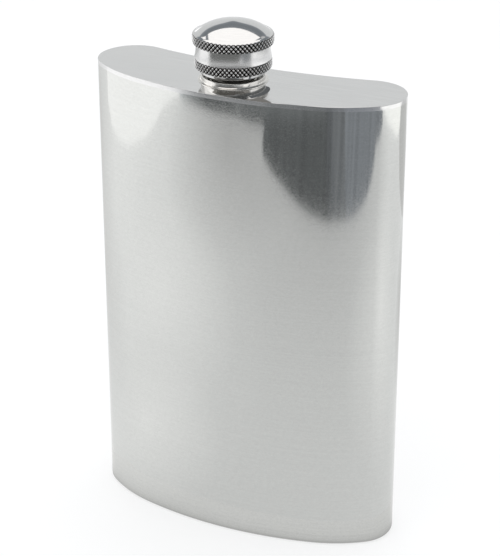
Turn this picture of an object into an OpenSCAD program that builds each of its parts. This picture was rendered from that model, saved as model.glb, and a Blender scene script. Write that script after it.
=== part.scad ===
// Kidney hip flask with a knurled screw cap.
// Sheet-metal body: front and back panels, top and base plates, soldered inside.
// A turned neck carries a coarse right-hand thread, and the cap screws down
// until its seal meets the neck's lip.
//
// Millimetres. +Z is up and the flask stands on Z = 0. The convex front faces -Y.
// The origin is at the middle of the box that holds the whole flask.

/* [Body] */
// Width across the two rounded ends
body_w = 88; // [84:1:92]
// Height of the body, from the base to the top plate's face
body_h = 130.5; // [90:0.5:160]
// Thickness at the middle, from the front to the hollow back
mid_t = 24.6; // [24:0.2:27]
// Radius of the middle of the front
front_r = 103; // [90:1:120]
// Half width of the stretch that has the front's radius
shoulder_x = 26; // [22:0.5:28]
// Radius of the shoulders between the front and the ends
shoulder_r = 40; // [36:1:44]
// Radius of the rounded ends
end_r = 10; // [9:0.2:11]
// Thickness of the front and back panels
wall = 1; // [0.8:0.1:1.2]
// Thickness of the top and base plates
plate_t = 1.2; // [0.8:0.1:2]
// Leg of the solder beads inside the joints
solder_leg = 0.7; // [0.5:0.1:0.8]

/* [Neck] */
// How far the neck stands in front of the body's mid thickness
neck_forward = 3.8; // [0:0.1:4]
// Outer radius of the collar
collar_r = 8.4; // [8:0.1:8.6]
// Height of the collar above the top plate
collar_h = 3.4; // [3:0.1:3.8]
// Radius of the thin rib round the collar
rib_r = 9.15; // [8.8:0.05:9.4]
// Thickness of the rib
rib_t = 0.5; // [0.4:0.1:0.8]
// Height of the rib's middle above the top plate
rib_z = 1.9; // [1.6:0.1:2.2]
// Radius of the bore that the drink pours through
bore_r = 4.75; // [4:0.05:4.9]
// Radius of the threaded spigot at the thread's root
spigot_r = 5.9; // [5.7:0.05:6]
// Height of the neck's lip above the top plate
neck_h = 11.9; // [11.6:0.1:12.2]
// Radius of the shank that goes down through the collar and the plate
shank_r = 6; // [5.6:0.1:6.1]
// How far the shank reaches below the top plate's underside
shank_drop = 2; // [1.5:0.1:3]

/* [Thread] */
// Lift of the cap for one turn
thread_pitch = 2; // [1.8:0.1:2.4]
// Height of a thread ridge above its root
thread_depth = 0.7; // [0.5:0.05:0.8]
// Turns of thread on the neck
neck_turns = 3; // [2:0.25:3]
// Turns of thread inside the cap
cap_turns = 2.5; // [1.5:0.25:2.5]
// Gap between each crest and the root that faces it
thread_gap = 0.25; // [0.15:0.05:0.35]

/* [Cap] */
// Gap between the collar and the cap's rim when the cap is closed
rim_gap = 1; // [0.8:0.1:1.2]
// Outer radius of the plain rim below the lower knurl
rim_r = 8.9; // [8.7:0.05:9.2]
// Radius over the lower knurled band
lower_band_r = 10.15; // [9.9:0.05:10.4]
// Radius over the upper knurled band
upper_band_r = 10.65; // [10.4:0.05:10.9]
// Radius of the polished waist between the bands
waist_r = 9.7; // [9.5:0.05:9.8]
// Radius where the dome leaves the upper band
dome_r = 10; // [9.4:0.05:10.05]
// Height of the dome above the upper band
dome_h = 3.4; // [2.8:0.1:5]
// Radius of the cap's hollow
cavity_r = 8; // [7.8:0.1:8.2]
// Thickness of the seal
seal_t = 1.8; // [1.4:0.1:1.8]

/* [Hidden] */
$fn = 180;

// Plan of the body: one arc for the front, one for each shoulder and end, one for the back.
front_c = [0, front_r - mid_t / 2];
shoulder_a = asin(shoulder_x / front_r);
shoulder_c = front_c + [(front_r - shoulder_r) * sin(shoulder_a), -(front_r - shoulder_r) * cos(shoulder_a)];
end_x = body_w / 2 - end_r;
end_y = shoulder_c.y - sqrt(pow(shoulder_r - end_r, 2) - pow(end_x - shoulder_c.x, 2));
end_c = [end_x, end_y];
end_set = end_y - mid_t / 2;
back_r = (end_x * end_x + end_set * end_set - end_r * end_r) / (2 * (end_r + end_set));
back_c = [0, mid_t / 2 + back_r];
front_a = -90 + shoulder_a;
end_front_a = atan2(end_c.y - shoulder_c.y, end_c.x - shoulder_c.x);
end_back_a = atan2(back_c.y - end_c.y, back_c.x - end_c.x);
back_a = atan2(end_c.y - back_c.y, end_c.x - back_c.x);
arc_steps = 14;

// Shift that puts the middle of the whole box on the origin.
front_most = max(mid_t / 2, neck_forward + upper_band_r);
back_most = end_y + end_r;
shift_y = (front_most - back_most) / 2;
axis_y = shift_y - neck_forward;

// Heights above the top plate's face.
deck = body_h;
rim_z = collar_h + rim_gap;
band_chamfer = 0.3;
rim_h = 1.15;
lower_band_z = rim_z + rim_h;
lower_band_h = 2.6;
waist_h = 3.85;
upper_band_z = lower_band_z + lower_band_h + waist_h;
upper_band_h = 2.45;
waist_step = 0.45;
flare_h = 1.8;
flare_steps = 6;
flare_power = 2.4;
dome_cone = 0.35;
dome_tip = 0.1;
dome_power = 3.2;
dome_steps = 24;
seal_gap = 0.05;
ceiling_z = neck_h + 2 * seal_gap + seal_t;
seal_play = 0.1;
seal_r = cavity_r - seal_play;

// Thread ridges: a trapezoid swept along a helix.
ridge_base = 1.1;
ridge_crest = 0.4;
ridge_sink = 0.3;
steps_per_turn = 24;
taper_steps = 4;
taper_start = 0.4;
thread_rise = 1.5;
thread_z = collar_h + thread_rise;
insert_recess = 0.6;
insert_z = rim_z + insert_recess;
insert_bore_r = spigot_r + thread_depth + thread_gap;
insert_depth = insert_bore_r - spigot_r - thread_gap;
lip_round = 0.3;

// Points along an arc, without its first one.
function arc_points(centre, r, from, to) =
    [for (i = [1:arc_steps]) let (a = from + (to - from) * i / arc_steps) centre + r * [cos(a), sin(a)]];

// The right half of the plan's outline, from the middle of the front to the middle of the back.
function half_outline(inset) = concat(
    [front_c + (front_r - inset) * [0, -1]],
    arc_points(front_c, front_r - inset, -90, front_a),
    arc_points(shoulder_c, shoulder_r - inset, front_a, end_front_a),
    arc_points(end_c, end_r - inset, end_front_a, end_back_a),
    arc_points(back_c, back_r + inset, back_a, -90));

// The kidney outline, moved inwards by inset.
module kidney(inset = 0) {
    right = half_outline(inset);
    last = len(right) - 1;
    left = [for (i = [1:last - 1]) [-right[last - i].x, right[last - i].y]];
    polygon(concat(right, left));
}

// A kidney-shaped frame between two insets.
module kidney_frame(outer, inner) {
    difference() {
        kidney(outer);
        kidney(inner);
    }
}

// A ring round the Z axis, from z to z + h.
module ring(r_out, r_in, z, h) {
    translate([0, 0, z]) difference() {
        cylinder(r = r_out, h = h);
        translate([0, 0, -1]) cylinder(r = r_in, h = h + 2);
    }
}

// Everything drawn in the plan's own axes, or round the neck's axis above the deck.
module on_plan() {
    translate([0, shift_y, 0]) children();
}

module on_neck() {
    translate([0, axis_y, deck]) children();
}

// The corners of a thread ridge's section at step i, anticlockwise from the lower inner one.
// side is 1 for a ridge on a spigot and -1 for one inside a bore.
function ridge_fade(i, steps) = min(1, (min(i, steps - i) + taper_start) / taper_steps);
function ridge_section(i, steps, root_r, depth, side) =
    let (
        a = 360 * i / steps_per_turn,
        z = thread_pitch * i / steps_per_turn,
        sunk = [root_r - side * ridge_sink, ridge_base / 2],
        crest = [root_r + side * depth * ridge_fade(i, steps), ridge_crest / 2],
        inner = side > 0 ? sunk : crest,
        outer = side > 0 ? crest : sunk,
        section = [[inner.x, -inner.y], [outer.x, -outer.y], outer, inner]
    )
    [for (p = section) [p.x * cos(a), p.x * sin(a), z + p.y]];

// A helical ridge whose middle starts at z = 0 on the +X side.
module thread_ridge(turns, root_r, depth, side) {
    steps = round(turns * steps_per_turn);
    points = [for (i = [0:steps]) each ridge_section(i, steps, root_r, depth, side)];
    walls = [for (i = [0:steps - 1]) for (k = [0:3])
        let (a = 4 * i + k, b = 4 * i + (k + 1) % 4)
        each [[a, b, b + 4], [a, b + 4, a + 4]]];
    first = [3, 2, 1, 0];
    last = [for (k = [0:3]) 4 * steps + k];
    polyhedron(points, concat([first], walls, [last]), convexity = 8);
}

module front_panel() {
    color([0.80, 0.81, 0.80]) on_plan() translate([0, 0, plate_t])
        linear_extrude(body_h - 2 * plate_t) intersection() {
            kidney_frame(0, wall);
            translate([-body_w, end_y - body_w]) square([2 * body_w, body_w]);
        }
}

module back_panel() {
    color([0.74, 0.75, 0.74]) on_plan() translate([0, 0, plate_t])
        linear_extrude(body_h - 2 * plate_t) intersection() {
            kidney_frame(0, wall);
            translate([-body_w, end_y]) square([2 * body_w, body_w]);
        }
}

// Solder bead down the inside of the joint between the panels, at the left or right end.
module side_seam(side) {
    color([0.62, 0.63, 0.64]) on_plan() translate([0, 0, plate_t + solder_leg])
        linear_extrude(body_h - 2 * plate_t - 2 * solder_leg) intersection() {
            kidney(wall);
            translate([side * (body_w / 2 - wall), end_y]) circle(solder_leg);
        }
}

module side_seam_left() {
    side_seam(-1);
}

module side_seam_right() {
    side_seam(1);
}

module base_plate() {
    color([0.72, 0.73, 0.72]) on_plan() linear_extrude(plate_t) kidney();
}

module top_plate() {
    color([0.84, 0.85, 0.84]) difference() {
        on_plan() translate([0, 0, body_h - plate_t]) linear_extrude(plate_t) kidney();
        on_neck() translate([0, 0, -plate_t - 1]) cylinder(r = shank_r, h = plate_t + 2);
    }
}

// Solder bead round the inside of a plate's joint with the panels.
module plate_seam(z) {
    color([0.62, 0.63, 0.64]) on_plan() translate([0, 0, z])
        linear_extrude(solder_leg) kidney_frame(wall, wall + solder_leg);
}

module base_seam() {
    plate_seam(plate_t);
}

module top_seam() {
    plate_seam(body_h - plate_t - solder_leg);
}

// Lower half of the collar, soldered on the top plate.
module neck_collar() {
    color([0.76, 0.76, 0.75]) on_neck() ring(collar_r, shank_r, 0, rib_z - rib_t / 2);
}

// Turned neck: shank, rib, upper collar and threaded spigot, bored right through.
module neck_bush() {
    shank_z = -plate_t - shank_drop;
    rib_low = rib_z - rib_t / 2;
    rib_high = rib_z + rib_t / 2;
    color([0.70, 0.70, 0.69]) on_neck() {
        rotate_extrude() polygon([
            [bore_r, shank_z], [shank_r, shank_z], [shank_r, rib_low], [rib_r, rib_low],
            [rib_r, rib_high], [collar_r, rib_high], [collar_r, collar_h],
            [spigot_r, collar_h], [spigot_r, neck_h - lip_round],
            [spigot_r - lip_round, neck_h], [bore_r, neck_h]]);
        translate([0, 0, thread_z]) thread_ridge(neck_turns, spigot_r, thread_depth, 1);
    }
}

// Solder ring round the shank, under the top plate.
module neck_solder() {
    color([0.62, 0.63, 0.64]) on_neck()
        ring(shank_r + solder_leg, shank_r, -plate_t - solder_leg, solder_leg);
}

// Fall of the dome from 0 at the crown to 1 at its edge: a soft cone that curls over.
function dome_drop(s) = (1 - dome_cone) * pow(s, dome_power)
    + dome_cone * (norm([s, dome_tip]) - dome_tip) / (norm([1, dome_tip]) - dome_tip);

// Outer cap, turned from one piece: rim, two bands, waist and dome over a plain hollow.
module cap_shell() {
    lower_top = lower_band_z + lower_band_h;
    upper_top = upper_band_z + upper_band_h;
    flare = [for (i = [1:flare_steps]) let (s = i / flare_steps)
        [waist_r + (lower_band_r - band_chamfer - waist_r) * pow(1 - s, flare_power),
         lower_top + flare_h * s]];
    dome = [for (i = [0:dome_steps]) let (s = 1 - i / dome_steps)
        [dome_r * s, upper_top + dome_h * (1 - dome_drop(s))]];
    color([0.82, 0.82, 0.81]) on_neck() rotate_extrude() polygon(concat(
        [[cavity_r, rim_z], [rim_r, rim_z],
         [rim_r, lower_band_z],
         [lower_band_r - band_chamfer, lower_band_z],
         [lower_band_r, lower_band_z + band_chamfer],
         [lower_band_r, lower_top - band_chamfer],
         [lower_band_r - band_chamfer, lower_top]],
        flare,
        [[waist_r, upper_band_z - waist_step],
         [upper_band_r - band_chamfer, upper_band_z],
         [upper_band_r, upper_band_z + band_chamfer],
         [upper_band_r, upper_top - band_chamfer],
         [upper_band_r - band_chamfer, upper_top]],
        dome,
        [[0, ceiling_z], [cavity_r, ceiling_z]]));
}

// Threaded sleeve pressed into the cap: it holds the seal up and engages the neck.
module cap_insert() {
    color([0.66, 0.66, 0.64]) on_neck() {
        ring(cavity_r, insert_bore_r, insert_z, neck_h - insert_z);
        translate([0, 0, thread_z + thread_pitch / 2])
            thread_ridge(cap_turns, insert_bore_r, insert_depth, -1);
    }
}

// Soft disc in the top of the cap that closes the neck's lip.
module cap_seal() {
    color([0.93, 0.92, 0.88]) on_neck() translate([0, 0, neck_h + seal_gap])
        cylinder(r = seal_r, h = seal_t);
}

front_panel();
back_panel();
side_seam_left();
side_seam_right();
base_plate();
top_plate();
base_seam();
top_seam();
neck_collar();
neck_bush();
neck_solder();
cap_shell();
cap_insert();
cap_seal();
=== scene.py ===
"""Looks of the kidney hip flask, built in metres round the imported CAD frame."""

import math

import bmesh
import bpy
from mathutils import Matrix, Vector


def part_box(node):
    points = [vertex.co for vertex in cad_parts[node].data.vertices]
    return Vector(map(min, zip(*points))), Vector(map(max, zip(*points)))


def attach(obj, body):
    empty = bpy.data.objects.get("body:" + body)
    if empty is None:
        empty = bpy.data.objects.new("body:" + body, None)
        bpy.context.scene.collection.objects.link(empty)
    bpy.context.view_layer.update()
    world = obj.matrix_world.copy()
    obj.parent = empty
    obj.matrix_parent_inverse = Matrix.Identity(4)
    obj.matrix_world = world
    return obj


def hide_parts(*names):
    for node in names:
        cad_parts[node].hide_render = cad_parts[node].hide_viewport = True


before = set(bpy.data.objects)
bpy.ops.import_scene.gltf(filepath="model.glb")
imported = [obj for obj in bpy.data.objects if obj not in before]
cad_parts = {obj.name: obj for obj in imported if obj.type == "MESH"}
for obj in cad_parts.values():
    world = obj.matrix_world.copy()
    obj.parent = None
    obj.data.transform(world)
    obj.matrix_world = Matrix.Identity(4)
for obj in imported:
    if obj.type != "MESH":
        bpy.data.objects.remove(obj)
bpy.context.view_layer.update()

MM = 0.001
MICRON = 0.001 * MM

# ---------------------------------------------------------------------------
# Main sizes: places are read from the CAD nodes, other lengths are those of the part's source
# ---------------------------------------------------------------------------
plate_lo, plate_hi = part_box("top_plate")
base_lo, base_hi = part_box("base_plate")
wall_lo, wall_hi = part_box("front_panel")
collar_lo, collar_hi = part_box("neck_collar")
bush_lo, bush_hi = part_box("neck_bush")
shell_lo, shell_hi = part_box("cap_shell")
seal_lo, seal_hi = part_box("cap_seal")
insert_lo, insert_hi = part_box("cap_insert")

HALF_W = plate_hi.x
DECK = plate_hi.z
AXIS_Y = (collar_lo.y + collar_hi.y) / 2
FRONT_Y = base_lo.y
END_R = 10 * MM
FRONT_R = 103 * MM
SHOULDER_R = 40 * MM
SHOULDER_X = 26 * MM
MID_T = 24.6 * MM
WALL = 1 * MM
SHANK_R = 6 * MM
# How long the outline's segments are: front, shoulders, ends, hollow back.
SEGMENTS = (1.2 * MM, 0.8 * MM, 0.25 * MM, 2 * MM)


# ---------------------------------------------------------------------------
# Plan of the body: one arc for the front, shoulders, ends, and the hollow back
# ---------------------------------------------------------------------------
def plan_arcs():
    """The right half's arcs, from the front's middle to the back's.

    Each is a centre, a radius, a first and a last angle, and 1 where the arc bulges out of the
    flask or -1 where it is hollow.
    """
    front_c = Vector((0, FRONT_Y + FRONT_R))
    a = math.asin(SHOULDER_X / FRONT_R)
    reach = FRONT_R - SHOULDER_R
    shoulder_c = front_c + Vector((reach * math.sin(a), -reach * math.cos(a)))
    end_x = HALF_W - END_R
    run = end_x - shoulder_c.x
    end_y = shoulder_c.y - math.sqrt((SHOULDER_R - END_R) ** 2 - run * run)
    end_c = Vector((end_x, end_y))
    hollow = end_y - (FRONT_Y + MID_T)
    back_r = (end_x**2 + hollow**2 - END_R**2) / (2 * (END_R + hollow))
    back_c = Vector((0, FRONT_Y + MID_T + back_r))
    turn_1 = math.atan2(end_c.y - shoulder_c.y, end_c.x - shoulder_c.x)
    turn_2 = math.atan2(back_c.y - end_c.y, back_c.x - end_c.x)
    turn_3 = math.atan2(end_c.y - back_c.y, end_c.x - back_c.x)
    down = -math.pi / 2
    return [
        (front_c, FRONT_R, down, down + a, 1),
        (shoulder_c, SHOULDER_R, down + a, turn_1, 1),
        (end_c, END_R, turn_1, turn_2, 1),
        (back_c, back_r, turn_3, down, -1),
    ]


ARCS = plan_arcs()
END_ARC, BACK_ARC = ARCS[2:]
END_X, END_Y = END_ARC[0]


def arc_points(arc, inset, step):
    """Points along one arc at about step metres, without its last one."""
    centre, radius, start, stop, side = arc
    r = radius - side * inset
    count = max(4, math.ceil(radius * abs(stop - start) / step))
    angles = [start + (stop - start) * i / count for i in range(count)]
    return [(centre.x + r * math.cos(t), centre.y + r * math.sin(t)) for t in angles]


def half_plan(inset):
    """Right half of the outline, from the front's middle to the back's."""
    points = []
    for arc, step in zip(ARCS, SEGMENTS):
        points += arc_points(arc, inset, step)
    centre, radius, _, stop, side = BACK_ARC
    points.append((0.0, centre.y + (radius - side * inset) * math.sin(stop)))
    return points


def mirrored(points):
    """The left half's points for these of the right half, in the opposite order."""
    return [(-x, y) for x, y in reversed(points)]


def full_plan(inset):
    """The closed outline, anticlockwise from above."""
    right = half_plan(inset)
    return right + mirrored(right[1:-1])


# ---------------------------------------------------------------------------
# Mesh helpers
# ---------------------------------------------------------------------------
def mesh_object(name, bm):
    """Puts a bmesh into the scene as an object."""
    mesh = bpy.data.meshes.new(name)
    bm.to_mesh(mesh)
    bm.free()
    obj = bpy.data.objects.new(name, mesh)
    bpy.context.scene.collection.objects.link(obj)
    return obj


def make_object(name, bm, sharp_deg=28):
    """Turns a bmesh into an object with smooth faces and sharp edges where it bends more."""
    bmesh.ops.recalc_face_normals(bm, faces=bm.faces)
    for face in bm.faces:
        face.smooth = True
    limit = math.radians(sharp_deg)
    for edge in bm.edges:
        if len(edge.link_faces) == 2 and edge.calc_face_angle(0) > limit:
            edge.smooth = False
    return mesh_object(name, bm)


def weigh_normals(obj):
    """Lets the big faces keep their own direction next to small rounded edges."""
    mod = obj.modifiers.new("weighted", "WEIGHTED_NORMAL")
    mod.mode = "FACE_AREA"
    mod.weight = 70
    mod.keep_sharp = True
    return obj


def bridge_rings(bm, rings, closed=True):
    """Quads between neighbouring rings of vertices."""
    for low, high in zip(rings[:-1], rings[1:]):
        n = len(low)
        for i in range(n if closed else n - 1):
            j = (i + 1) % n
            bm.faces.new((low[i], low[j], high[j], high[i]))


def around(r, t, z):
    """The point at distance r from the neck's axis, at angle t and z above the deck."""
    return (r * math.cos(t), AXIS_Y + r * math.sin(t), DECK + z)


def ring(bm, r, z, count):
    """Vertices of a circle round the neck's axis."""
    return [bm.verts.new(around(r, 2 * math.pi * i / count, z)) for i in range(count)]


def fan(bm, edge, z):
    """Closes a ring with triangles to a point on the neck's axis."""
    middle = bm.verts.new(around(0, 0, z))
    for a, b in zip(edge, edge[1:] + edge[:1]):
        bm.faces.new((a, b, middle))


# A corner's arc has this many steps and takes at most this share of each edge beside it.
CORNER_STEPS = 5
EDGE_SHARE = 0.49
STRAIGHT = math.radians(176)


def round_corners(points):
    """Rounds each corner of an (r, z, radius) line with an arc; a radius of 0 leaves it sharp."""
    out = []
    n = len(points)
    for i in range(n):
        r, z, fillet = points[i]
        here = Vector((r, z))
        if fillet <= 0:
            out.append(here)
            continue
        back = Vector(points[i - 1][:2]) - here
        ahead = Vector(points[(i + 1) % n][:2]) - here
        angle = back.angle(ahead)
        if angle > STRAIGHT:
            out.append(here)
            continue
        reach = fillet / math.tan(angle / 2)
        reach = min(reach, back.length * EDGE_SHARE, ahead.length * EDGE_SHARE)
        radius = reach * math.tan(angle / 2)
        middle = here + (back.normalized() + ahead.normalized()).normalized() * (
            radius / math.sin(angle / 2)
        )
        first = here + back.normalized() * reach - middle
        last = here + ahead.normalized() * reach - middle
        swing = first.angle_signed(last)
        for k in range(CORNER_STEPS + 1):
            t = -swing * k / CORNER_STEPS
            c, s = math.cos(t), math.sin(t)
            out.append(middle + Vector((first.x * c - first.y * s, first.x * s + first.y * c)))
    return out


def lathe(name, profile, segments):
    """Closed solid of revolution round the neck's axis, from a closed (r, z, radius) profile."""
    bm = bmesh.new()
    rings = []
    for r, z in round_corners(profile):
        rings.append(ring(bm, r, z, segments if r > 0 else 1))
    for low, high in zip(rings, rings[1:] + rings[:1]):
        if len(low) == 1 and len(high) == 1:
            continue
        for i in range(segments):
            j = (i + 1) % segments
            if len(low) == 1:
                bm.faces.new((low[0], high[j], high[i]))
            elif len(high) == 1:
                bm.faces.new((low[i], low[j], high[0]))
            else:
                bm.faces.new((low[i], low[j], high[j], high[i]))
    return make_object(name, bm)


# ---------------------------------------------------------------------------
# Materials
# ---------------------------------------------------------------------------
class Nodes:
    """Short hand for building the node tree of a material, or of a world."""

    def __init__(self, name, world=False):
        kind = bpy.data.worlds if world else bpy.data.materials
        self.owner = kind.new(name)
        self.owner.use_nodes = True
        self.tree = self.owner.node_tree
        self.tree.nodes.clear()
        self.out = self.add("ShaderNodeOutputWorld" if world else "ShaderNodeOutputMaterial")

    def add(self, kind, **values):
        node = self.tree.nodes.new(kind)
        for key, value in values.items():
            setattr(node, key, value)
        return node

    def link(self, a, b):
        self.tree.links.new(a, b)

    def feed(self, socket, value):
        if isinstance(value, (int, float, tuple)):
            socket.default_value = value
        else:
            self.link(value, socket)

    def surface(self, shader):
        """Shows a shader node's output, and returns the finished material or world."""
        self.link(shader, self.out.inputs["Surface"])
        return self.owner

    def place(self):
        return self.add("ShaderNodeTexCoord").outputs["Object"]

    def axes(self, vector):
        node = self.add("ShaderNodeSeparateXYZ")
        self.link(vector, node.inputs[0])
        return node.outputs

    def attribute(self, name):
        return self.add("ShaderNodeAttribute", attribute_name=name).outputs["Fac"]

    def math(self, operation, *values):
        node = self.add("ShaderNodeMath", operation=operation)
        for socket, value in zip(node.inputs, values):
            self.feed(socket, value)
        return node.outputs[0]

    def scaled(self, vector, scale):
        node = self.add("ShaderNodeVectorMath", operation="MULTIPLY")
        self.feed(node.inputs[0], vector)
        node.inputs[1].default_value = scale
        return node.outputs[0]

    def noise(self, vector, scale, detail, rough):
        node = self.add("ShaderNodeTexNoise")
        self.feed(node.inputs["Vector"], vector)
        node.inputs["Scale"].default_value = scale
        node.inputs["Detail"].default_value = detail
        node.inputs["Roughness"].default_value = rough
        return node.outputs[0]

    def spread(self, value, low, high, to_low=0.0, to_high=1.0):
        node = self.add("ShaderNodeMapRange")
        self.feed(node.inputs[0], value)
        for i, number in enumerate((low, high, to_low, to_high)):
            self.feed(node.inputs[1 + i], number)
        return node.outputs[0]

    def mix(self, factor, a, b):
        """A mix of two colours, whose sockets come after the node's number and vector ones."""
        node = self.add("ShaderNodeMix", data_type="RGBA")
        self.feed(node.inputs[0], factor)
        self.feed(node.inputs[6], a)
        self.feed(node.inputs[7], b)
        return node.outputs[2]

    def glow(self, colour, strength):
        node = self.add("ShaderNodeEmission")
        self.feed(node.inputs["Color"], colour)
        self.feed(node.inputs["Strength"], strength)
        return node.outputs[0]

    def bump(self, height, distance, strength, normal=None):
        node = self.add("ShaderNodeBump")
        node.inputs["Strength"].default_value = strength
        node.inputs["Distance"].default_value = distance
        self.feed(node.inputs["Height"], height)
        if normal is not None:
            self.link(normal, node.inputs["Normal"])
        return node.outputs[0]


# Faint tints, as factors of red, green and blue.
PLAIN = (1.0, 1.0, 1.0)
WARM = (0.99, 1.0, 0.975)
COOL = (0.95, 1.0, 1.03)
SKY = (0.93, 1.0, 1.07)
LAMPLIGHT = (1.0, 0.978, 0.96)


def grey(level, tint=PLAIN):
    """A grey of this level, faintly coloured by a tint."""
    return tuple(level * t for t in tint) + (1.0,)


def finish_metal(n, colour, rough, normal, aniso=0.0, turn=0.0, tangent=None):
    """A metal from its colour, roughness and normal, brushed along a tangent where one is given."""
    shader = n.add("ShaderNodeBsdfPrincipled")
    shader.inputs["Metallic"].default_value = 1.0
    n.feed(shader.inputs["Base Color"], colour)
    n.feed(shader.inputs["Roughness"], rough)
    shader.inputs["Anisotropic"].default_value = aniso
    shader.inputs["Anisotropic Rotation"].default_value = turn
    if tangent is not None:
        n.link(tangent, shader.inputs["Tangent"])
    n.link(normal, shader.inputs["Normal"])
    return n.surface(shader.outputs[0])


def body_metal():
    """Bright metal with fine level brush lines, soft smears and a little wear."""
    n = Nodes("brushed_body")
    place = n.place()
    hair = n.noise(n.scaled(place, (9, 9, 2600)), 1.0, 4.0, 0.6)
    streak = n.noise(n.scaled(place, (22, 22, 900)), 1.0, 3.0, 0.55)
    grain = n.noise(n.scaled(place, (900, 900, 1500)), 1.0, 2.0, 0.5)
    speck = n.noise(n.scaled(place, (2600, 2600, 3400)), 1.0, 1.0, 0.5)
    cloud = n.noise(place, 24.0, 4.0, 0.55)
    wave = n.noise(n.scaled(place, (14, 14, 30)), 1.0, 1.0, 0.4)
    tone = n.math("ADD", n.math("MULTIPLY", hair, 0.3), n.math("MULTIPLY", grain, 0.3))
    tone = n.math("ADD", tone, n.math("MULTIPLY", speck, 0.4))
    colour = n.mix(n.spread(tone, 0.36, 0.64), grey(0.575, WARM), grey(0.625, WARM))
    polish = n.spread(n.axes(place)[2], DECK - 60 * MM, DECK, 0.01, 0.0)
    rough = n.math(
        "ADD",
        n.spread(cloud, 0.3, 0.7, 0.035, 0.06),
        n.spread(streak, 0.3, 0.7, -0.004, 0.006),
    )
    rough = n.math("ADD", rough, polish)
    rough = n.math("ADD", rough, n.spread(speck, 0.3, 0.7, -0.015, 0.045))
    normal = n.bump(wave, 30 * MICRON, 0.3)
    normal = n.bump(hair, 0.7 * MICRON, 0.4, normal)
    normal = n.bump(streak, 0.6 * MICRON, 0.25, normal)
    normal = n.bump(speck, 1.5 * MICRON, 0.5, normal)
    tangent = n.add("ShaderNodeTangent", direction_type="RADIAL", axis="Z").outputs[0]
    return finish_metal(n, colour, rough, normal, 0.4, 0.25, tangent)


def deck_metal():
    """Satin top plate: short straight rub marks along the flask."""
    n = Nodes("satin_plate")
    place = n.place()
    hair = n.noise(n.scaled(place, (60, 2400, 2400)), 1.0, 4.0, 0.6)
    cloud = n.noise(place, 60.0, 4.0, 0.6)
    colour = n.mix(n.spread(hair, 0.3, 0.7), grey(0.635), grey(0.685))
    rough = n.spread(cloud, 0.3, 0.7, 0.13, 0.2)
    normal = n.bump(hair, 2 * MICRON, 0.4)
    return finish_metal(n, colour, rough, normal)


def turned_place(n):
    """The plain place, and a vector of distance from the neck's axis, height and a slow turn."""
    place = n.place()
    x, y, z = n.axes(place)
    y = n.math("SUBTRACT", y, AXIS_Y)
    squared = n.math("ADD", n.math("MULTIPLY", x, x), n.math("MULTIPLY", y, y))
    r = n.math("SQRT", squared)
    slow_turn = n.math("MULTIPLY", n.math("ARCTAN2", y, x), 0.6 * MM)
    joined = n.add("ShaderNodeCombineXYZ")
    for socket, value in zip(joined.inputs, (r, z, slow_turn)):
        n.link(value, socket)
    return place, joined.outputs[0]


def neck_metal():
    """Turned neck: rings round it and short upright rub marks."""
    n = Nodes("turned_neck")
    place, turned = turned_place(n)
    rings = n.noise(turned, 5200.0, 3.0, 0.6)
    rub = n.noise(n.scaled(place, (2600, 2600, 260)), 1.0, 3.0, 0.6)
    cloud = n.noise(place, 320.0, 3.0, 0.6)
    tone = n.math("ADD", n.math("MULTIPLY", rings, 0.4), n.math("MULTIPLY", rub, 0.6))
    colour = n.mix(
        n.spread(tone, 0.35, 0.65), grey(0.58, (1.0, 0.98, 0.94)), grey(0.72, (1.0, 0.985, 0.955))
    )
    rough = n.spread(cloud, 0.3, 0.7, 0.15, 0.2)
    normal = n.bump(rub, 1 * MICRON, 0.4)
    normal = n.bump(rings, 1 * MICRON, 0.4, normal)
    return finish_metal(n, colour, rough, normal)


def cap_metal():
    """Polished cap, with painted shade in the knurls' grooves."""
    n = Nodes("polished_cap")
    place, turned = turned_place(n)
    rings = n.noise(turned, 4200.0, 3.0, 0.6)
    cloud = n.noise(place, 260.0, 4.0, 0.6)
    depth, satin = n.attribute("groove"), n.attribute("satin")
    bright = n.mix(n.spread(rings, 0.3, 0.7), grey(0.6), grey(0.645))
    # Painted shade: the colour turns a warm near-black the deeper a point lies in a knurl's groove.
    colour = n.mix(n.spread(depth, 0.3, 0.82), bright, grey(0.018, (1.0, 0.88, 0.75)))
    rough = n.math("ADD", n.spread(cloud, 0.3, 0.7, 0.05, 0.1), n.math("MULTIPLY", satin, 0.16))
    rough = n.math("ADD", rough, n.math("MULTIPLY", depth, 0.1))
    height = n.math("MULTIPLY", rings, n.math("ADD", satin, 0.12))
    return finish_metal(n, colour, rough, n.bump(height, 6 * MICRON, 0.6))


def insert_metal():
    """Turned sleeve: plain rings and some dullness."""
    n = Nodes("turned_sleeve")
    place, turned = turned_place(n)
    rings = n.noise(turned, 3600.0, 3.0, 0.6)
    cloud = n.noise(place, 400.0, 3.0, 0.6)
    colour = n.mix(n.spread(rings, 0.35, 0.65), grey(0.42, WARM), grey(0.56, WARM))
    rough = n.spread(cloud, 0.3, 0.7, 0.22, 0.38)
    return finish_metal(n, colour, rough, n.bump(rings, 10 * MICRON, 0.7))


def solder_metal():
    """Dull solder with small lumps."""
    n = Nodes("dull_solder")
    place = n.place()
    lumps = n.noise(place, 700.0, 3.0, 0.5)
    stain = n.noise(place, 180.0, 4.0, 0.6)
    colour = n.mix(n.spread(stain, 0.35, 0.65), grey(0.3, (0.96, 0.98, 1.0)), grey(0.46))
    rough = n.spread(stain, 0.3, 0.7, 0.38, 0.55)
    return finish_metal(n, colour, rough, n.bump(lumps, 80 * MICRON, 0.6))


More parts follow.
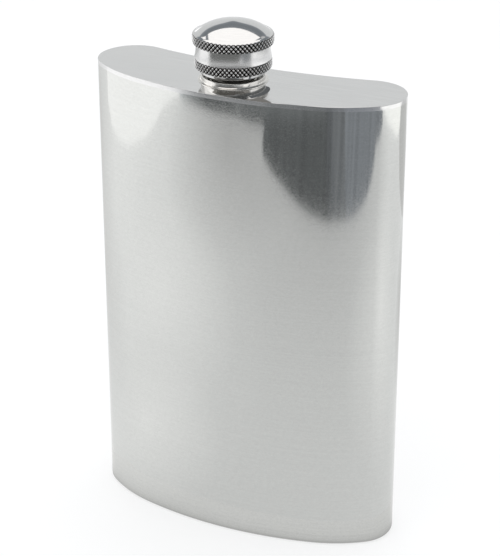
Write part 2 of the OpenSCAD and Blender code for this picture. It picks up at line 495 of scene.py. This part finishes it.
def seal_material():
    """Matt off-white rubber with a fine moulded grain and faint soiling."""
    n = Nodes("seal_rubber")
    place = n.place()
    grain = n.noise(place, 3800.0, 3.0, 0.5)
    soil = n.noise(place, 330.0, 4.0, 0.6)
    shader = n.add("ShaderNodeBsdfPrincipled")
    colour = n.mix(n.spread(soil, 0.35, 0.7), (0.74, 0.72, 0.66, 1), (0.6, 0.57, 0.5, 1))
    n.link(colour, shader.inputs["Base Color"])
    n.link(n.spread(soil, 0.3, 0.7, 0.5, 0.68), shader.inputs["Roughness"])
    n.link(n.bump(grain, 30 * MICRON, 0.5), shader.inputs["Normal"])
    return n.surface(shader.outputs[0])


BODY = body_metal()
PLATE = deck_metal()
NECK = neck_metal()
CAP = cap_metal()
INSERT = insert_metal()
SOLDER = solder_metal()
SEAL = seal_material()


def paint(obj, material):
    obj.data.materials.clear()
    obj.data.materials.append(material)


def dress(obj, material, body, node):
    """Gives a piece its material and its body, and hides the CAD node that it stands for."""
    paint(obj, material)
    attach(obj, body)
    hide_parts(node)


# ---------------------------------------------------------------------------
# Body panels
# ---------------------------------------------------------------------------
FRONT, BACK = 0, 1
PANEL_ROWS = 12


def split_half(inset):
    """The right half of the plan, cut where the end is widest: front part and back part."""
    points = half_plan(inset)
    cut = (END_X + (END_R - inset), END_Y)
    front = [p for p in points if p[1] < END_Y]
    back = [p for p in points if p[1] > END_Y]
    return front + [cut], [cut] + back


def panel(name, part):
    """A closed sheet: outer and inner skins, with rims all round."""
    bm = bmesh.new()
    height = wall_hi.z - wall_lo.z
    levels = [wall_lo.z + height * i / PANEL_ROWS for i in range(PANEL_ROWS + 1)]
    skins = []
    for inset in (0.0, WALL):
        half = split_half(inset)[part]
        line = mirrored(half[1:]) + half if part == FRONT else half + mirrored(half[:-1])
        skins.append([[bm.verts.new((x, y, z)) for x, y in line] for z in levels])
    for skin in skins:
        bridge_rings(bm, skin, closed=False)
    for k in (0, -1):
        bridge_rings(bm, [skin[k] for skin in skins], closed=False)
        bridge_rings(bm, [[row[k] for row in skin] for skin in skins], closed=False)
    return make_object(name, bm)


dress(panel("panel_front", FRONT), BODY, "flask", "front_panel")
dress(panel("panel_back", BACK), BODY, "flask", "back_panel")

EDGE_STEPS = 8
HOLE_SIDES = 96


def plate(name, z_flat, z_joint, edge_r, hole_r=0.0):
    """A plate of the kidney plan whose outer edge is rounded towards z_flat."""
    up = 1 if z_flat > z_joint else -1
    levels = [(WALL, z_joint), (0.0, z_joint)]
    for i in range(EDGE_STEPS + 1):
        t = math.pi / 2 * i / EDGE_STEPS
        inset = edge_r * (1 - math.cos(t))
        levels.append((inset, z_flat - up * edge_r * (1 - math.sin(t))))
    bm = bmesh.new()
    rims = [[bm.verts.new((x, y, z)) for x, y in full_plan(inset)] for inset, z in levels]
    bridge_rings(bm, rims)
    holes = []
    for rim, z in ((rims[0], z_joint), (rims[-1], z_flat)):
        if not hole_r:
            bm.faces.new(rim)
            continue
        hole = ring(bm, hole_r, z - DECK, HOLE_SIDES)
        holes.append(hole)
        edges = []
        for loop in (rim, hole):
            for a, b in zip(loop, loop[1:] + loop[:1]):
                edges.append(bm.edges.get((a, b)) or bm.edges.new((a, b)))
        bmesh.ops.triangle_fill(bm, use_beauty=True, use_dissolve=False, edges=edges)
    bridge_rings(bm, holes)
    return weigh_normals(make_object(name, bm))


dress(
    plate("plate_top", plate_hi.z, plate_lo.z, 0.1 * MM, SHANK_R),
    PLATE, "flask", "top_plate",
)
dress(
    plate("plate_base", base_lo.z, base_hi.z, 1.1 * MM),
    BODY, "flask", "base_plate",
)


# ---------------------------------------------------------------------------
# Neck
# ---------------------------------------------------------------------------
COLLAR_R = collar_hi.x
RIB_R = bush_hi.x
RIB_LOW = collar_hi.z - DECK
RIB_HIGH = RIB_LOW + 0.5 * MM
COLLAR_H = 3.4 * MM
SPIGOT_R = 5.9 * MM
BORE_R = 4.75 * MM
LIP = bush_hi.z - DECK
SHANK_Z = bush_lo.z - DECK
NECK_SIDES = 192

# Both threads: the pitch, and the ridge's height, its widths at root and crest, how deep it is
# buried, and how its crest is softened. It fades over some steps at each end.
PITCH = 2 * MM
RIDGE_H = 0.7 * MM
RIDGE_BASE = 1.1 * MM
RIDGE_TOP = 0.4 * MM
RIDGE_ROOT = 0.25 * MM
SOFT_R, SOFT_Z = 0.12 * MM, 0.06 * MM
HELIX_SIDES = 72
FADE_STEPS = 12
NECK_TURNS, NECK_THREAD_Z = 3, 4.9 * MM
CAP_TURNS, CAP_THREAD_Z = 2.5, 5.9 * MM

collar_profile = [
    (SHANK_R, 0, 0),
    (COLLAR_R, 0, 0),
    (COLLAR_R, RIB_LOW, 0.05 * MM),
    (SHANK_R, RIB_LOW, 0),
]
dress(
    lathe("neck_collar_ring", collar_profile, NECK_SIDES),
    NECK, "flask", "neck_collar",
)


def helix(name, turns, root, height, z0):
    """A thread ridge as its own closed sweep, fading in and out at its ends.

    A height above 0 stands outwards from the root, and one below 0 inwards.
    """
    steps = int(turns * HELIX_SIDES)
    side = math.copysign(1, height)
    bm = bmesh.new()
    sections = []
    for i in range(steps + 1):
        t = 2 * math.pi * i / HELIX_SIDES
        fade = min(1.0, (min(i, steps - i) + 1) / FADE_STEPS)
        tip = root + height * math.sin(fade * math.pi / 2)
        z = z0 + PITCH * i / HELIX_SIDES
        corners = [
            (root - side * RIDGE_ROOT, -RIDGE_BASE / 2),
            (root, -RIDGE_BASE / 2),
            (tip - side * SOFT_R, -RIDGE_TOP / 2 - SOFT_Z),
            (tip, -RIDGE_TOP / 2 + SOFT_Z),
        ]
        corners += [(r, -dz) for r, dz in reversed(corners)]
        sections.append([bm.verts.new(around(r, t, z + dz)) for r, dz in corners])
    bridge_rings(bm, sections)
    bm.faces.new(sections[0])
    bm.faces.new(sections[-1])
    return make_object(name, bm, sharp_deg=40)


def join(main, other):
    """Adds another mesh's faces to the main piece."""
    bm = bmesh.new()
    bm.from_mesh(main.data)
    bm.from_mesh(other.data)
    bm.to_mesh(main.data)
    bm.free()
    mesh = other.data
    bpy.data.objects.remove(other)
    bpy.data.meshes.remove(mesh)


bush_profile = [
    (BORE_R, SHANK_Z, 0.2 * MM),
    (SHANK_R, SHANK_Z, 0.2 * MM),
    (SHANK_R, RIB_LOW, 0),
    (RIB_R - 0.3 * MM, RIB_LOW, 0),
    (RIB_R, RIB_LOW + 0.08 * MM, 0.12 * MM),
    (RIB_R, RIB_HIGH - 0.08 * MM, 0.12 * MM),
    (COLLAR_R + 0.15 * MM, RIB_HIGH, 0.1 * MM),
    (COLLAR_R, RIB_HIGH + 0.2 * MM, 0.1 * MM),
    (COLLAR_R, COLLAR_H, 0.2 * MM),
    (SPIGOT_R + 0.3 * MM, COLLAR_H, 0.05 * MM),
    (SPIGOT_R, COLLAR_H + 0.3 * MM, 0.2 * MM),
    (SPIGOT_R, LIP, 0.4 * MM),
    (BORE_R, LIP, 0.25 * MM),
]
bush = lathe("neck_turned", bush_profile, NECK_SIDES)
join(bush, helix("ridge", NECK_TURNS, SPIGOT_R, RIDGE_H, NECK_THREAD_Z))
dress(bush, NECK, "flask", "neck_bush")


# ---------------------------------------------------------------------------
# Cap
# ---------------------------------------------------------------------------
# The knurl: diamonds round the cap, vertices across one, how deep its grooves are, the chamfer
# at each band's edges, and how many diamonds high the two bands are.
TEETH = 56
PER_TOOTH = 8
KNURL_DEPTH = 0.4 * MM
CHAMFER = 0.3 * MM
LOWER_DIAMONDS, UPPER_DIAMONDS = 2, 1.875
RIM_Z = shell_lo.z - DECK
TOP_Z = shell_hi.z - DECK
BAND_LOW = RIM_Z + 1.15 * MM
BAND_MID = BAND_LOW + 2.6 * MM
BAND_UP = BAND_MID + 3.85 * MM
BAND_TOP = BAND_UP + 2.45 * MM
UPPER_R = shell_hi.x
LOWER_R = UPPER_R - 0.5 * MM
RIM_R = 8.9 * MM
# The waist stands straight above a long flare, which starts this much wider.
WAIST_R = 9.68 * MM
FLARE = 0.36 * MM
FLARE_H = 2.9 * MM
FLARE_STEPS = 10
SATIN_TOP = BAND_UP - 0.2 * MM
DOME_R = 10 * MM
DOME_STEPS = 48
DOME_CONE, DOME_POWER, DOME_TIP = 0.35, 3.2, 0.1
GAP = 0.02 * MM
CAVITY_R = 8 * MM
CAVITY_TOP = seal_hi.z - DECK + 0.05 * MM


def knurl(u, v):
    """Height of the knurl from 0 in a groove to 1 at a diamond's tip."""
    a, b = (u + v) % 1.0, (u - v) % 1.0
    return math.sin(math.pi * a) * math.sin(math.pi * b)


def dome_drop(s):
    """Fall of the dome from 0 at the crown to 1 at its edge: a soft cone that curls over."""
    cone = (math.hypot(s, DOME_TIP) - DOME_TIP) / (math.hypot(1, DOME_TIP) - DOME_TIP)
    return DOME_CONE * cone + (1 - DOME_CONE) * s**DOME_POWER


def plain_rows(line):
    """Rows without a knurl, along an (r, z, radius) line."""
    return [(r, z, None, 0) for r, z in round_corners(line)]


def band_rows(band_r, low, high, diamonds):
    """Rows of one knurled band, with a chamfer at each edge."""
    count = int(diamonds * PER_TOOTH)
    rows = []
    for i in range(count + 1):
        z = low + (high - low) * i / count
        edge = min(z - low, high - z)
        rows.append((band_r - max(0.0, CHAMFER - edge), z, band_r, i))
    return rows


def cap_rows():
    """Rows of the cap's outside from rim to crown: (radius, z, band's radius, row in the band)."""
    rows = plain_rows(
        [
            (CAVITY_R + 0.1 * MM, RIM_Z, 0),
            (RIM_R, RIM_Z, 0.3 * MM),
            (RIM_R, BAND_LOW, 0.12 * MM),
            (LOWER_R - KNURL_DEPTH - 0.15 * MM, BAND_LOW, 0),
        ]
    )
    rows += band_rows(LOWER_R, BAND_LOW, BAND_MID, LOWER_DIAMONDS)
    for i in range(FLARE_STEPS + 1):
        s = i / FLARE_STEPS
        r = WAIST_R + FLARE * (1 - s) ** 2
        rows.append((r, BAND_MID + GAP + FLARE_H * s, None, 0))
    rows += plain_rows(
        [
            (WAIST_R, BAND_MID + FLARE_H + 0.2 * MM, 0),
            (WAIST_R, BAND_UP - 0.12 * MM, 0.15 * MM),
            (UPPER_R - KNURL_DEPTH - 0.1 * MM, BAND_UP, 0),
        ]
    )
    rows += band_rows(UPPER_R, BAND_UP, BAND_TOP, UPPER_DIAMONDS)
    rows.append((UPPER_R - 0.33 * MM, BAND_TOP + GAP, None, 0))
    rows.append((DOME_R + 0.03 * MM, BAND_TOP + 0.07 * MM, None, 0))
    for i in range(DOME_STEPS):
        s = 1 - i / DOME_STEPS
        rise = (TOP_Z - BAND_TOP) * (1 - dome_drop(s))
        rows.append((DOME_R * s, BAND_TOP + max(0.09 * MM, rise), None, 0))
    return rows


def build_cap():
    """The cap's shell, with how deep each vertex lies in a groove and whether it is satin."""
    rows = cap_rows()
    segments = TEETH * PER_TOOTH
    bm = bmesh.new()
    groove = bm.verts.layers.float.new("groove")
    satin = bm.verts.layers.float.new("satin")
    rings = []
    for r, z, band_r, row in rows:
        line = []
        for i in range(segments):
            radius, depth = r, 0.0
            if band_r:
                depth = 1 - knurl(i / PER_TOOTH, row / PER_TOOTH)
                radius = min(r, band_r - KNURL_DEPTH * depth)
            vert = bm.verts.new(around(radius, 2 * math.pi * i / segments, z))
            vert[groove] = depth
            vert[satin] = 1.0 if band_r is None and BAND_MID < z < SATIN_TOP else 0.0
            line.append(vert)
        rings.append(line)
    for k in range(len(rings) - 1):
        low, high = rings[k], rings[k + 1]
        band_r, row = rows[k][2:]
        if band_r is None or band_r != rows[k + 1][2]:
            bridge_rings(bm, [low, high])
            continue
        for i in range(segments):
            j = (i + 1) % segments
            # A diagonal runs along each groove and crest of one direction, the rest the other way.
            if (i + row + 1) % (PER_TOOTH // 2) == 0:
                bm.faces.new((low[i], low[j], high[i]))
                bm.faces.new((low[j], high[j], high[i]))
            else:
                bm.faces.new((low[i], low[j], high[j]))
                bm.faces.new((low[i], high[j], high[i]))
    fan(bm, rings[-1], TOP_Z)
    mouth = ring(bm, CAVITY_R, RIM_Z + 0.1 * MM, segments)
    top = ring(bm, CAVITY_R, CAVITY_TOP, segments)
    bridge_rings(bm, [rings[0], mouth, top])
    fan(bm, top, CAVITY_TOP)
    return make_object("cap_knurled", bm, sharp_deg=38)


dress(build_cap(), CAP, "cap", "cap_shell")

INSERT_LOW = insert_lo.z - DECK
INSERT_HIGH = insert_hi.z - DECK
INSERT_BORE = 6.85 * MM
INSIDE_SIDES = 144
sleeve_profile = [
    (CAVITY_R - 0.01 * MM, INSERT_LOW, 0.15 * MM),
    (CAVITY_R - 0.01 * MM, INSERT_HIGH, 0.05 * MM),
    (INSERT_BORE, INSERT_HIGH, 0.05 * MM),
    (INSERT_BORE, INSERT_LOW, 0.25 * MM),
]
sleeve = lathe("cap_sleeve", sleeve_profile, INSIDE_SIDES)
join(sleeve, helix("inner_ridge", CAP_TURNS, INSERT_BORE, -RIDGE_H, CAP_THREAD_Z))
dress(sleeve, INSERT, "cap", "cap_insert")

SEAL_LOW = seal_lo.z - DECK
SEAL_HIGH = seal_hi.z - DECK
# The disc's underside is dished inside the ring that meets the neck's lip.
disc_profile = [
    (0, SEAL_LOW + 0.12 * MM, 0),
    (4.2 * MM, SEAL_LOW + 0.12 * MM, 0.1 * MM),
    (4.5 * MM, SEAL_LOW, 0.1 * MM),
    (seal_hi.x, SEAL_LOW, 0.25 * MM),
    (seal_hi.x, SEAL_HIGH, 0.25 * MM),
    (0, SEAL_HIGH, 0),
]
dress(
    lathe("cap_disc", disc_profile, INSIDE_SIDES),
    SEAL, "seal", "cap_seal",
)

# The solder beads stay as CAD solids, with a better material.
for seam in ("side_seam_left", "side_seam_right", "base_seam", "top_seam", "neck_solder"):
    paint(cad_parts[seam], SOLDER)


# ---------------------------------------------------------------------------
# Stage: pale floor, soft light from above, and cards that only reflections see
# ---------------------------------------------------------------------------
def glow_material(name, level, tint):
    n = Nodes(name)
    return n.surface(n.glow(grey(1.0, tint), level))


def flat_shape(name, points, z, material):
    """A level polygon of the stage, from points and a height in millimetres."""
    bm = bmesh.new()
    bm.faces.new([bm.verts.new((x * MM, y * MM, z * MM)) for x, y in points])
    obj = mesh_object(name, bm)
    paint(obj, material)
    return obj


def reflections_only(obj):
    """Hides a piece of the stage from everything but mirror-like reflections."""
    obj.visible_camera = False
    obj.visible_diffuse = False
    obj.visible_shadow = False


def card(name, points, z, level, tint=PLAIN):
    """A level polygon of even light, which only reflections show."""
    reflections_only(flat_shape(name, points, z, glow_material(name, level, tint)))


def floor_material():
    """A pale floor with some light of its own, so that it stays nearly white."""
    n = Nodes("pale_floor")
    shader = n.add("ShaderNodeBsdfPrincipled")
    shader.inputs["Base Color"].default_value = grey(0.4)
    shader.inputs["Roughness"].default_value = 0.9
    shader.inputs["Specular IOR Level"].default_value = 0.1
    shader.inputs["Emission Color"].default_value = grey(1.0)
    shader.inputs["Emission Strength"].default_value = 0.6
    return n.surface(shader.outputs[0])


def rectangle(left, right, front, back):
    return [(left, front), (right, front), (right, back), (left, back)]


# The floor lies just under the flask, so that the two surfaces don't coincide.
flat_shape("floor", rectangle(-4000, 4000, -4000, 4000), -0.02, floor_material())

# Each is a centre and a radius in millimetres, a level and a strength at its centre.
POOLS = [
    ((110, -360), 420, 0.42, 0.8),  # wide shade in front
    ((-130, -105), 95, 1.25, 0.6),  # light to the front left
    ((-65, -35), 50, 1.22, 0.7),  # light close on the left
    ((190, -35), 120, 1.3, 0.65),  # light on the right
    ((-170, 75), 120, 0.72, 0.8),  # shade on the left
    ((-300, 140), 170, 0.68, 0.85),  # shade to the far left
    ((-300, -80), 300, 1.35, 0.5),  # wide light on the left
    ((-118, -292), 132, 0.42, 0.52),  # painted shade at the dark reflection's left end
    ((60, 155), 80, 0.68, 0.9),  # shade to the back right
]


def pool_card(name, points, z, pools):
    """A clear card with round pools of light and shade, each fading out from its middle."""
    n = Nodes(name)
    place = n.place()
    surface = n.add("ShaderNodeBsdfTransparent").outputs[0]
    for (cx, cy), radius, level, strength in pools:
        shift = n.add("ShaderNodeVectorMath", operation="SUBTRACT")
        n.link(place, shift.inputs[0])
        shift.inputs[1].default_value = (cx * MM, cy * MM, z * MM)
        size = n.add("ShaderNodeVectorMath", operation="LENGTH")
        n.link(shift.outputs[0], size.inputs[0])
        fade = n.spread(size.outputs["Value"], 0.0, radius * MM, strength, 0.0)
        blend = n.add("ShaderNodeMixShader")
        for socket, value in zip(blend.inputs, (fade, surface, n.glow(grey(1.0), level))):
            n.link(value, socket)
        surface = blend.outputs[0]
    reflections_only(flat_shape(name, points, z, n.surface(surface)))


pool_card("floor_pools", rectangle(-640, 560, -800, 420), 0.2, POOLS)


# A streaky card's rays, how they vary its level, and the stretch of Y over which it changes to
# its far level.
RAYS = 20.0
RAY_LOW, RAY_HIGH = 0.9, 1.12
FAR_GLOW_START, FAR_GLOW_END = -336 * MM, -362 * MM


def streaky_card(name, points, z, level, tint, far=1.0):
    """A card with faint rays, which a bulging wall shows as upright streaks.

    Its far end, which shows higher on the wall, is far times as bright.
    """
    n = Nodes(name)
    x, y, _ = n.axes(n.place())
    rays = n.add("ShaderNodeTexNoise", noise_dimensions="1D")
    rays.inputs["Scale"].default_value = RAYS
    rays.inputs["Detail"].default_value = 2.0
    n.link(n.math("ARCTAN2", x, y), rays.inputs["W"])
    strength = n.spread(rays.outputs[0], 0.35, 0.65, level * RAY_LOW, level * RAY_HIGH)
    # Painted light: the card grows brighter across this stretch of Y towards its far end.
    far_glow = n.spread(y, FAR_GLOW_START, FAR_GLOW_END, 1.0, far)
    light = n.glow(grey(1.0, tint), n.math("MULTIPLY", strength, far_glow))
    reflections_only(flat_shape(name, points, z, n.surface(light)))


def near_edge(lift):
    """Right part of the dark reflection's near edge, for three cards; lift moves it back."""
    edge = [
        (173, -195), (197, -187), (216, -183), (236, -183), (255, -187), (276, -198),
        (285, -194), (302, -180), (334, -150),
    ]
    points = [(x, y + lift) for x, y in edge]
    return points + [(346 + lift, -150 + lift), (350 + lift, -175), (420, -420)]


# The floor's cards: points and height in millimetres, level and tint. The heights stack them.
streaky_card(
    "dark_card",
    [
        (-228, -284), (-205, -294), (-180, -304), (-156, -312), (-135, -320), (-110, -326),
        (-94, -328), (-78, -328), (-60, -331), (-47, -330), (-48, -311), (-44, -297),
        (-29, -285), (-10, -273), (10, -260), (28, -249), (45, -240), (70, -232), (99, -223),
        (123, -216), (148, -206),
    ] + near_edge(0) + [(260, -900), (-300, -900), (-380, -480)],
    0.3, 0.145, COOL, 1.7,
)
# The dark reflection fades in over a few strips at its left end.
STRIP_X, STRIP_Y = -238, -280.7
STRIP_W, STRIP_DROP = 8, 3.3
LEAN_X, LEAN_Y = -152, -196
for i, level in enumerate((0.78, 0.55, 0.45, 0.37, 0.3, 0.24, 0.19)):
    x, y = STRIP_X + STRIP_W * i, STRIP_Y - STRIP_DROP * i
    far_x, far_y = x + LEAN_X, y + LEAN_Y
    card(
        "fade_strip",
        [(x, y), (x + STRIP_W, y - STRIP_DROP), (far_x + STRIP_W, far_y - 3), (far_x, far_y)],
        0.32 + 0.01 * i, level, COOL,
    )
# The dark reflection turns grey over a few steps, each card set a little further to the right.
for shift, level in ((-2, 0.165), (8, 0.185), (17, 0.21), (27, 0.235)):
    streaky_card(
        "grey_card",
        [
            (110 + shift, -345), (102 + shift, -300), (96 + shift, -267),
            (88 + shift, -228 + 0.38 * shift), (123, -214), (148, -204),
        ] + near_edge(2) + [(130 + shift, -420)],
        0.52 + 0.01 * shift, level, (0.95, 1.0, 1.06),
    )
streaky_card(
    "pale_card",
    [(190, -315), (169, -262), (156, -232), (146, -203)] + near_edge(4) + [(240, -420)],
    0.9, 0.31, (0.94, 1.0, 1.09),
)
card(
    "left_card",
    [
        (-413, 16), (-366, 14), (-335, -15), (-310, -68), (-280, -137), (-261, -182),
        (-259, -214), (-261, -240), (-250, -270), (-234, -290), (-260, -380), (-420, -500),
        (-900, -300), (-900, 16),
    ],
    0.3, 1.4,
)
card(
    "right_card",
    [
        (349, -176), (363, -135), (366, -111), (370, -68), (371, -25), (367, 19), (357, 63),
        (341, 106), (320, 148), (300, 190), (296, 230), (340, 300), (600, 330), (700, -400),
    ],
    0.3, 1.48, (1.0, 1.0, 0.985),
)
# Painted shadow on the floor round the flask's foot, in cards that only reflections show: the
# nearer a step, the darker and the higher it lies.
for reach, level in (
    (12, 0.98), (9, 0.96), (6.5, 0.93), (4.5, 0.89), (3, 0.84), (2, 0.77), (1.2, 0.67),
):
    outline = [(x / MM, y / MM) for x, y in full_plan(-reach * MM)]
    card("foot_shadow_band", outline, 0.18 - 0.012 * reach, level)
card(
    "fine_line",
    [(-134, -341.5), (-100, -343), (-84, -338), (-84, -334.5), (-100, -339), (-134, -338)],
    0.35, 0.32, COOL,
)
card(
    "edge_card",
    [
        (225, 195), (290, 200), (330, 290), (300, 420), (160, 400), (40, 300), (60, 228),
        (150, 215),
    ],
    0.45, 0.76,
)


def aim(obj, place, direction):
    """Puts a lamp or a camera in its place and turns it towards a direction."""
    obj.location = place
    obj.rotation_mode = "QUATERNION"
    obj.rotation_quaternion = direction.to_track_quat("-Z", "Y")


# The lamp lights the floor, and the cards below it are what polished metal shows.
LAMP_X, LAMP_Y = 2.1, 2.6
LAMP_LEVEL = 1.2
lamp_data = bpy.data.lights.new("ceiling_light", "AREA")
lamp_data.shape = "RECTANGLE"
lamp_data.size = LAMP_X
lamp_data.size_y = LAMP_Y
lamp_data.energy = LAMP_LEVEL * math.pi * LAMP_X * LAMP_Y
lamp = bpy.data.objects.new("ceiling_light", lamp_data)
bpy.context.scene.collection.objects.link(lamp)
aim(lamp, (0.08, -0.33, 1.2), Vector((0, 0, -1)))
lamp.visible_glossy = False

CARD_CEILING = 1148
card(
    "ceiling_card",
    [
        (-620, -1500), (-620, -500), (-807, -16), (-890, 203), (-998, 477), (-917, 543),
        (-774, 645), (-636, 734), (-512, 791), (-394, 840), (-232, 852), (131, 852),
        (325, 892), (450, 936), (520, -1500),
    ],
    CARD_CEILING, 1.55, LAMPLIGHT,
)

CARD_STEPS = 12
DECK_Z = DECK / MM
LEAST_WIDTH = math.sqrt(0.0002)


def sector(name, inner, outer, start, stop, z, level, tint, blunt=60):
    """A level piece of a ring round the neck; angles run from the front towards +X, in degrees.

    A low blunt value rounds the ring off towards its last angle, where a little width is left.
    """
    def at(radius, degrees):
        t = math.radians(degrees)
        return (radius * math.sin(t), AXIS_Y / MM - radius * math.cos(t))

    parts = [i / CARD_STEPS for i in range(CARD_STEPS + 1)]
    points = [at(inner, start + (stop - start) * part) for part in parts]
    for part in reversed(parts):
        width = (outer - inner) * max(math.sqrt(1 - part**blunt), LEAST_WIDTH)
        points.append(at(inner + width, start + (stop - start) * part))
    card(name, points, z, level, tint)


# Small cards over the deck, which the turned neck and the collar's foot show.
sector("neck_dark", 18, 120, -43, 50, DECK_Z + 1.7, 0.19, (0.98, 1.0, 0.97))
sector("foot_shade", 8.45, 10.3, 52, 116, DECK_Z + 0.12, 0.14, COOL, 3)
card(
    "collar_dark",
    [
        (-3.2, -13.3), (0, -13.3), (6, -12.9), (8.5, -11.2), (9.4, -9), (14, -11.4),
        (13.8, -16), (9, -20.1), (3.1, -22.2), (-3.1, -22.2), (-8.4, -20.8), (-5.2, -16.4),
    ],
    DECK_Z + 0.1, 0.24, (1.0, 0.97, 0.92),
)
card(
    "collar_core",
    [(-1.5, -13.3), (6, -12.9), (8.5, -11.4), (13.8, -16), (9, -20.1), (3.1, -22.2), (-5, -21.6)],
    DECK_Z + 0.15, 0.1, (1.0, 0.97, 0.9),
)
sector("neck_grey", 18, 120, 50, 76, DECK_Z + 1.9, 0.3, COOL)


def wall(name, start, stop, low, high, distance, level, tint=PLAIN):
    """An upright card along part of a circle round the flask, with angles as a sector has."""
    bm = bmesh.new()
    rows = []
    for z in (low, high):
        row = []
        for i in range(CARD_STEPS + 1):
            t = math.radians(start + (stop - start) * i / CARD_STEPS)
            x, y = distance * MM * math.sin(t), -distance * MM * math.cos(t)
            row.append(bm.verts.new((x, y, z * MM)))
        rows.append(row)
    bridge_rings(bm, rows, closed=False)
    obj = mesh_object(name, bm)
    paint(obj, glow_material(name, level, tint))
    reflections_only(obj)


# The room's walls, in millimetres and degrees: the front of the room is dark, its sides are lit.
ROOM_R, BACK_R = 1100, 1300
wall("room_front", -50, 80, 220, 780, ROOM_R, 0.1, COOL)
wall("room_left", -140, -50, 60, 270, ROOM_R, 1.5)
wall("room_right", 80, 150, 60, 270, ROOM_R, 1.5)
wall("window_left", -98, -48, 270, 925, ROOM_R, 1.6)
wall("window_right", 72, 122, 270, 815, ROOM_R, 1.35)
wall("room_back", 95, 300, 60, 815, BACK_R, 0.86, (0.985, 1.0, 1.0))
card(
    "side_card",
    [
        (-1073, 381), (-1285, 430), (-1703, 670), (-2100, 900), (-2300, 200), (-1400, -500),
        (-790, -500), (-955, 17),
    ],
    CARD_CEILING, 1.55, LAMPLIGHT,
)
card(
    "back_card",
    [(470, 990), (425, 1005), (421, 1349), (586, 1638), (900, 1600), (700, 900)],
    CARD_CEILING, 0.7,
)

# The world is white below and dims upwards, as positions on the ramp and levels.
STOPS = [(0.0, 1.0), (0.45, 1.0), (0.5, 0.34), (0.6, 0.27), (0.8, 0.34), (1.0, 0.34)]
studio = Nodes("studio", world=True)
ramp = studio.add("ShaderNodeValToRGB")
backdrop = studio.add("ShaderNodeBackground")
height = studio.axes(studio.add("ShaderNodeTexCoord").outputs["Generated"])[2]
studio.link(height, ramp.inputs[0])
studio.link(ramp.outputs[0], backdrop.inputs["Color"])
bpy.context.scene.world = studio.surface(backdrop.outputs[0])
marks = ramp.color_ramp.elements
marks[1].position = STOPS[-1][0]
for position, _ in STOPS[1:-1]:
    marks.new(position)
for mark, (_, level) in zip(marks, STOPS):
    mark.color = grey(level, SKY if level < 1 else PLAIN)

# ---------------------------------------------------------------------------
# Camera
# ---------------------------------------------------------------------------
AZIMUTH, ELEVATION = 24.9, 25.45
DISTANCE = 0.5234
AIM = Vector((0.00269, 0, 0.0739))

camera_data = bpy.data.cameras.new("camera")
camera_data.lens = 123.98
camera_data.sensor_width = 36
camera_data.clip_start = 0.01
camera_data.clip_end = 20
camera = bpy.data.objects.new("camera", camera_data)
bpy.context.scene.collection.objects.link(camera)
az, el = math.radians(AZIMUTH), math.radians(ELEVATION)
away = Vector((math.sin(az) * math.cos(el), -math.cos(az) * math.cos(el), math.sin(el)))
aim(camera, AIM + away * DISTANCE, -away)
bpy.context.scene.camera = camera
bpy.context.scene.view_settings.view_transform = "Standard"
